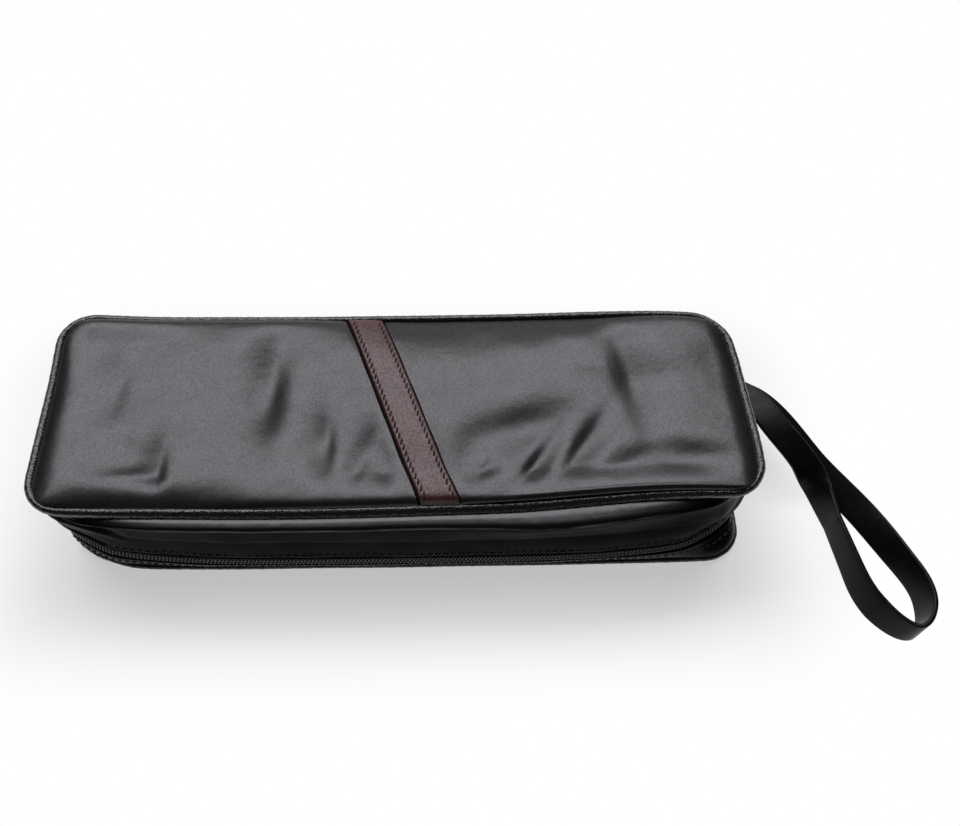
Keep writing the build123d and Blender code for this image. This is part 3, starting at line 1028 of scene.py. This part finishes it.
def patch(name, side, centre_y, width, node):
    wall, thread_out = half_x + 0.25, 1.38
    centre_z = (patch_low + patch_high) / 2
    half_w, half_h = width / 2, (patch_high - patch_low) / 2
    steps = 40
    angle = 2 * pi * (np.arange(steps) + 0.5) / steps
    c, s = np.cos(angle), np.sin(angle)
    rings = []
    for draw, out in patch_section:
        radius = max(patch_corner - 0.5 * draw, 0.5)
        y = np.sign(c) * (half_w - draw - radius) + radius * c
        z = np.sign(s) * (half_h - draw - radius) + radius * s
        bulge = 0.036 * np.sin(3 * y) * np.sin(z / 3) * (draw > 1)
        rings.append(xyz(side * (wall + out + bulge), centre_y + y, centre_z + z))
    faces, _ = grid_faces(len(rings), steps, False, True)
    faces += [[row * steps + k for k in range(steps)] for row in (0, len(rings) - 1)]
    finish_piece(make(name, rings, faces), "base", black, node)

    edge, pitch = 1.4, 2.4
    up = np.arange(patch_low + 2.6, patch_high - 2.4, pitch) - centre_z
    lines = [(sign * (half_w - edge), z, (0, 0, 1)) for sign in (-1, 1) for z in up]
    if width > 8:
        across = np.arange(-half_w + 2.6, half_w - 2.4, pitch)
        lines += [(y, sign * (half_h - edge), (0, 1, 0)) for sign in (-1, 1) for y in across]
    centres = np.array([(side * (wall + thread_out), centre_y + y, centre_z + z) for y, z, _ in lines])
    ahead = np.array([line[2] for line in lines], float)
    sew(name + "_stitches", centres, ahead, (side, 0, 0), 1.7, 0.2, "base")


patch("left_patch", -1, zip_end_y, 6.0, "zip_end_patch")
patch("right_patch", 1, 21.0, 15.0, "strap_patch")


# Wrist strap: a closed loop of ribbon with its two plies together at the root. Each point of the
# route is x, y, z and the ribbon's lean from standing on its edge, in degrees.

strap_route = [
    (144.4, 20.4, 20.2, 88),
    (150.9, 9.0, 19.6, 87),
    (161.6, -4.6, 13.6, 76),
    (167.6, -13.0, 7.0, 34),
    (170.3, -28.9, 6.0, 9),
    (172.6, -47.0, 5.9, 16),
    (177.4, -64.3, 5.9, 27),
    (189.7, -73.4, 6.1, 5),
    (196.0, -63.1, 6.6, -16),
    (192.7, -46.0, 6.0, -28),
    (183.4, -24.9, 5.0, -57),
    (167.8, -3.1, 8.6, -78),
    (152.3, 17.6, 15.6, -82),
    (143.1, 24.0, 17.6, -86),
]
strap_x, strap_y, strap_z = 132.4, 25.0, 19.0
strap_width, strap_thickness, strap_ply = 11.4, 1.8, 1.1


def strap():
    upper, lower = strap_z + strap_ply, strap_z - strap_ply
    route = [(strap_x, strap_y, upper, 88), (strap_x + 4, strap_y, upper, 88)] + strap_route
    route = np.array(route + [(strap_x + 4, strap_y, lower, -88), (strap_x, strap_y, lower, -88)])
    length = chords(route[:, :3])
    at = np.linspace(0, length[-1], 330)
    middle = spline(length, route[:, :3])(at)
    lean = np.radians(np.interp(at, length, route[:, 3]))[:, None]
    ahead = np.gradient(middle, axis=0)
    level = unit(xyz(-ahead[:, 1], ahead[:, 0], 0))
    across = level * np.sin(lean) + np.array([0, 0, 1]) * np.cos(lean)

    # The fold at the root, which joins the plies
    turn = np.radians(np.linspace(270, 90, 15)[1:-1])
    fold = xyz(strap_x + strap_ply * np.cos(turn), strap_y, strap_z + strap_ply * np.sin(turn))
    path = np.concatenate([middle, fold])
    across = np.concatenate([across, np.tile([0.0, 1.0, 0.0], (len(fold), 1))])
    obj = ribbon("strap", path, across, strap_width, strap_thickness, True, 0.6, 0.12, 6)
    finish_piece(obj, "strap", strap_black, "wrist_strap")
    z = upper + strap_thickness / 2 + 0.12
    centres = [(strap_x + x, strap_y + y, z) for x in (1.6, 4.6) for y in np.arange(-4.2, 4.3, 2.1)]
    sew("strap_stitches", np.array(centres), (0, 1, 0), (0, 0, 1), 1.7, 0.2, "strap")


strap()


# Inside

tray_floor = 6.5
lid_ceiling = 44.3
layer_inset = 2.15


def base_underside():
    obj = slab("underside", 1.0, 0.0, 1.3, 0.4, 120, 60)
    finish_piece(obj, "base", black, "base_panel")


def quilt(points):
    """The lining's slight unevenness over the foam."""
    x, y, _ = measures(points)
    points[..., 2] += 0.10 * np.sin(x / 8.3) * np.cos(y / 9.1) + 0.05 * np.sin(x / 3.9 + y / 5.1)
    return points


def lining_tray(name, floor, edge, body, node):
    """Cloth glued to the walls and turned into the floor, with a rounded lip. edge is the open side."""
    up = 1 if edge > floor else -1
    rise = abs(edge - floor)
    t = ring_t[::2]
    inset, height = np.array([
        (2.12, -0.6), (2.12, rise * 0.5), (2.12, rise - 0.3), (2.25, rise - 0.05), (2.45, rise),
        (2.68, rise - 0.06), (2.8, rise - 0.35), (2.8, rise * 0.6), (2.85, 1.6), (3.1, 0.8), (3.7, 0.25),
        (4.8, 0.05), (5.2, -0.3),
    ]).T
    uneven = 0.06 * np.sin(t[:, None] / 6.1) * (inset > 2.5)
    obj = swept(name + "_walls", on_wall(t[:, None], inset + uneven, floor + up * height), t, True)
    finish_piece(obj, body, lining_nap, node)
    bottom, top = sorted((floor, floor - 0.65 * up))
    obj = slab(name + "_sheet", 2.3, bottom, top, 0.25, 120, 60, quilt)
    finish_piece(obj, body, lining_nap, node)


def crowned(points):
    """Lifts the top of the lid's foam so that it fills out the skin."""
    x, y, z = measures(points)
    rise = np.maximum(skin_height(x, y) - skin_thickness - 0.15 - seam_z, 0.0)
    points[..., 2] += np.where(z > 47.6, rise * smooth(2.2, 6, edge_distance(x, y)), 0)
    return points


def hidden_layers():
    """The boards and foam between the leather and the lining."""
    for name, low, high, rounding, body, slot, material, node in (
        ("floor_board", 1.35, 2.75, 0.3, "base", "board", grey_board, "base_board"),
        ("floor_foam", 2.85, 5.75, 0.7, "base", "foam", cream_foam, "base_padding"),
        ("lid_board", 45.1, 46.4, 0.3, "lid", "board", grey_board, "top_board"),
        ("lid_foam", 46.5, 48.4, 0.6, "lid", "foam", cream_foam, "top_padding"),
    ):
        fine = (120, 60, crowned) if name == "lid_foam" else ()
        obj = slab(name, layer_inset, low, high, rounding, *fine)
        finish_piece(obj, body, material, node)


def divider():
    """The padded wall between the two bays, its cloth drawn in along a seam on both sides."""
    half_length, half_width, end, low, high, seam = 111.0, 2.8, 3, 6.4, 27.5, 19.5
    turn = np.linspace(0, pi / 2, 8)
    straight = np.linspace(-half_length + 5, half_length - 5, 90)
    x = np.concatenate([
        end - half_length - end * np.cos(turn), straight, half_length - end + end * np.sin(turn),
    ])[:, None]
    beyond = np.clip(np.abs(x) - (half_length - end), 0, end)
    size = np.sqrt(np.clip(1 - (beyond / end) ** 2, 0.0004, 1))
    angle = turns(40)
    c, s = np.cos(angle), np.sin(angle)
    side = np.sign(c) * np.abs(c) ** 0.42
    rise = np.sign(s) * np.abs(s) ** 0.22
    z = low + (high - low) * (0.5 + 0.5 * rise)
    y = half_width * side * (0.45 + 0.55 * size)
    waist = 0.35 * bell(z, seam, 1.0) + 0.12 * np.sin(x / 7.7)
    y = y - np.sign(y) * waist * (np.abs(side) > 0.6)
    z = z - 1.3 * (1 - size) * (z > 20)
    obj = swept("divider", xyz(x, y, z), x[:, 0] - x[0, 0], False)
    finish_piece(obj, "base", lining_nap, "pipe_divider")
    at = np.arange(-104, 105, 3.2)
    for name, sign in (("divider_stitches_front", -1), ("divider_stitches_rear", 1)):
        centres = xyz(at, sign * 2.5, seam)
        sew(name, centres, (1, 0, 0), (0, sign, 0), 2.2, 0.2, "base")


def stem_loops():
    """An elastic arch in each bay, sewn to the floor at both feet."""
    band, inner, straight = 1.2, 8.0, 1.0
    radius = inner + band / 2
    foot = [(-13.4, 0.62), (-11.5, 0.62), (-10.0, 0.66), (-9.1, 0.95), (-8.66, 1.6)]
    arch = [(-radius * cos(a), straight + radius * sin(a)) for a in np.linspace(0.12, pi - 0.12, 25)]
    line = np.array(foot + arch + [(-y, z) for y, z in foot[::-1]])
    for name, x, y, node in (
        ("front_elastic", 62.0, -20.6, "front_stem_loop"), ("rear_elastic", -62.0, 20.6, "rear_stem_loop"),
    ):
        path = xyz(x, y + line[:, 0], tray_floor + line[:, 1])
        length = chords(path)
        fine = spline(length, path)(np.linspace(0, length[-1], 120))
        across = np.tile([1.0, 0.0, 0.0], (120, 1))
        obj = ribbon(name, fine, across, 12.0, band, False, 0.35, 0.05)
        finish_piece(obj, "base", elastic_ribs, node)
        along = np.arange(-4.5, 4.6, 1.8)
        centres = [(x + dx, y + side * 11.6, tray_floor + 1.32) for side in (-1, 1) for dx in along]
        sew(name + "_stitches", np.array(centres), (1, 0, 0), (0, 0, 1), 1.4, 0.17, "base")


base_underside()
lining_tray("base_lining", tray_floor, 9.0, "base", "base_lining")
lining_tray("lid_lining", lid_ceiling, 19.0, "lid", "lid_lining")
hidden_layers()
divider()
stem_loops()


# Flat pocket under the lid

pocket_half, pocket_low, pocket_high = 95.0, -34.0, 22.0
mouth_y = 20.4


def pocket_height(x, y):
    """The pocket's cloth hangs down, most at the middle of its mouth."""
    mouth = smooth(-30, pocket_high, y)
    return lid_ceiling - 0.3 - mouth * (0.9 * (1 - (x / pocket_half) ** 4) + 0.15 * np.sin(x / 9.0))


def pocket():
    columns, rows = 130, 50
    along = np.linspace(-pocket_half, pocket_half, columns)
    across = np.linspace(pocket_low, pocket_high, rows)
    x, y = np.meshgrid(along, across)
    z = pocket_height(x, y)
    faces, where = two_sheets(rows, columns)
    uvs = np.stack([along[where[..., 1]] + pocket_half, across[where[..., 0]] - pocket_low], -1)
    uvs = uvs.reshape(-1, 2)
    sides = np.zeros((4 * len(faces) - 2 * len(uvs), 2))
    sheets = [xyz(x, y, z - drop) for drop in (0, 0.5)]
    cloth = make("pocket", sheets, faces, np.concatenate([uvs, uvs, sides]))
    finish_piece(cloth, "lid", pocket_weave, "lid_pocket")
    x = np.linspace(-pocket_half + 1, pocket_half - 1, 120)
    path = xyz(x, mouth_y, pocket_height(x, mouth_y) - 0.3)
    edge = ribbon("pocket_edge", path, np.tile([0.0, 1.0, 0.02], (120, 1)), 4.6, 1.2, False, 0.4, 0.05)
    finish_piece(edge, "lid", elastic_ribs, "pocket_binding")
    pitch = 2.9
    lines = [(x, pocket_low + 1.6, (1, 0, 0)) for x in np.arange(-pocket_half + 3, pocket_half - 2, pitch)]
    for y in np.arange(pocket_low + 3, pocket_high - 6, pitch):
        lines += [(side * (pocket_half - 1.6), y, (0, 1, 0)) for side in (-1, 1)]
    centres = np.array([(x, y, pocket_height(x, y) - 0.58) for x, y, _ in lines])
    ahead = np.array([line[2] for line in lines], float)
    seam = sew("pocket_stitches", centres, ahead, (0, 0, -1), 2.1, 0.18, "lid")


pocket()


# Slider and pull keep their CAD shape
for part in ("zip_slider", "zip_pull"):
    for s in frame["nodes"][part].material_slots:
        s.material = slider_enamel


# Floor, light and camera

def floor():
    """A pale floor. Close to the case it takes light and shadow, further off it fades to plain white,
    and far off it ends in the background."""
    radius, drop = 14, 0.0002
    ring = [(radius * cos(a), radius * sin(a), -drop) for a in turns(96)]
    mesh = bpy.data.meshes.new("floor")
    mesh.from_pydata(ring, [], [list(range(len(ring)))])
    tree = Tree("floor")
    tone = tree.colours(tree.noise(60, 3), (0.94, 0.94, 0.94), (0.96, 0.96, 0.96))
    tree.set(colour=tone, rough=0.9, specular=0.1)
    outward = tree.vector("ABSOLUTE", "Vector", tree.here)
    outward = tree.vector("SUBTRACT", "Vector", outward, (half_x + 1.5, half_y + 1, 0))
    outward = tree.vector("MAXIMUM", "Vector", outward, (0, 0, 0))
    away = tree.vector("LENGTH", "Value", outward)
    rays = tree.nodes.new("ShaderNodeLightPath").outputs
    seen = tree.math("MAXIMUM", rays["Is Camera Ray"], rays["Is Glossy Ray"])
    seen = tree.math("MAXIMUM", seen, rays["Is Transmission Ray"])
    white = tree.node("Emission", 0, {})
    clear = tree.node("BsdfTransparent", 0, {})
    share = tree.math("MULTIPLY", seen, tree.spread(away, 0.0, 60.0, 0.5, 1.0, "SMOOTHSTEP"))
    near = tree.node("MixShader", 0, {0: share, 1: tree.nodes["Principled BSDF"].outputs[0], 2: white})
    edge = tree.node("MixShader", 0, {0: tree.spread(away, 9000, 13500, 0.0, 1.0), 1: near, 2: clear})
    tree.links.new(edge, tree.nodes["Material Output"].inputs["Surface"])
    mesh.materials.append(tree.owner)
    placed("floor", mesh)


def world():
    """A dim studio with a pale wall behind the case."""
    tree = Tree("studio", bpy.data.worlds)
    bpy.context.scene.world = tree.owner
    _, y, z = tree.split(tree.nodes.new("ShaderNodeTexCoord").outputs["Generated"])
    behind = tree.spread(y, 0.62, 0.97, 0.0, 0.9, "SMOOTHSTEP")
    low = tree.spread(z, 0.35, 0.75, 1.0, 0.0, "SMOOTHSTEP")
    background = tree.nodes["Background"].inputs
    tree.put(tree.math("MULTIPLY_ADD", behind, low, 0.04), background["Strength"])
    tree.put((1, 1, 1, 1), background["Color"])


def softbox(name, azimuth, elevation, distance, width, height, radiance, colour):
    """A large soft lamp that looks at the case. azimuth 0 is behind the case."""
    lamp = bpy.data.lights.new(name, "AREA")
    lamp.shape = "RECTANGLE"
    lamp.size = width
    lamp.size_y = height
    lamp.energy = radiance * pi * width * height
    lamp.color = colour
    obj = placed(name, lamp)
    a, e = radians(azimuth), radians(elevation)
    place = Vector((sin(a) * cos(e), cos(a) * cos(e), sin(e))) * distance
    obj.location = place
    obj.rotation_euler = (-place).to_track_quat("-Z", "Y").to_euler()


def camera():
    eye = Vector((0.0033, -0.1818, 0.3311))
    down, yaw, roll = radians(57.57), radians(0.59), radians(-0.26)
    ahead = Vector((sin(yaw) * cos(down), cos(yaw) * cos(down), -sin(down)))
    right = Vector((cos(yaw), -sin(yaw), 0))
    up = right.cross(ahead)
    right, up = right * cos(roll) + up * sin(roll), up * cos(roll) - right * sin(roll)
    lens = bpy.data.cameras.new("camera")
    lens.sensor_width = 36
    lens.sensor_fit = "HORIZONTAL"
    lens.lens = 34.01
    lens.shift_x = 0.0708
    lens.clip_start = 0.01
    obj = placed("camera", lens)
    turn = Matrix((right, up, -ahead)).transposed()
    obj.matrix_world = Matrix.Translation(eye) @ turn.to_4x4()
    bpy.context.scene.camera = obj


floor()
world()
softbox("back softbox", -10, 58, 3.5, 4.6, 1.5, 5.8, (0.95, 0.94, 1.0))
camera()
bpy.context.scene.view_settings.view_transform = "Standard"
